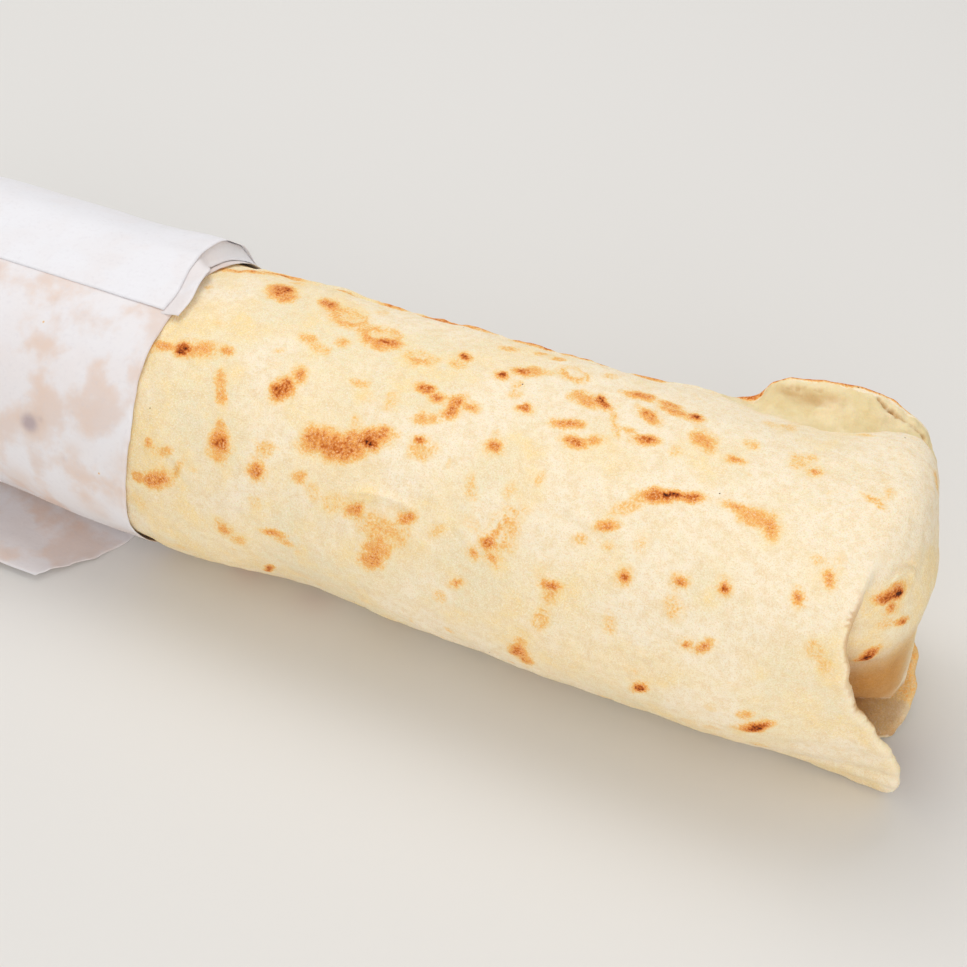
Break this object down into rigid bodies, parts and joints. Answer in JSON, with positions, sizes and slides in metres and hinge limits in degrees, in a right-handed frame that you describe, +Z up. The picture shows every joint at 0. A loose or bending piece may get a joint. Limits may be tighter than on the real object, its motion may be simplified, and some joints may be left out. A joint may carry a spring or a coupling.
{
  "type": "gyro wrap",
  "caption": "Rolled toasted flatbread with its filling shut inside, its end folded in, half wrapped in a sheet of greaseproof paper, lying on its side.",
  "frame": {"origin": "on the flat underside of the roll, half way along the whole wrap", "axes": "+X along the roll towards its folded end, +Y to the back, +Z up"},
  "size_m": [0.255, 0.0745, 0.0605],
  "materials": {
    "flatbread": "matt toasted flatbread, cream with golden to dark brown toast marks",
    "paper": "thin white greaseproof paper, matt, slightly see-through, with oil stains"
  },
  "bodies": {
    "root": {"flatbread_roll": "flatbread", "paper_wrap": "paper"}
  },
  "joints": []
}
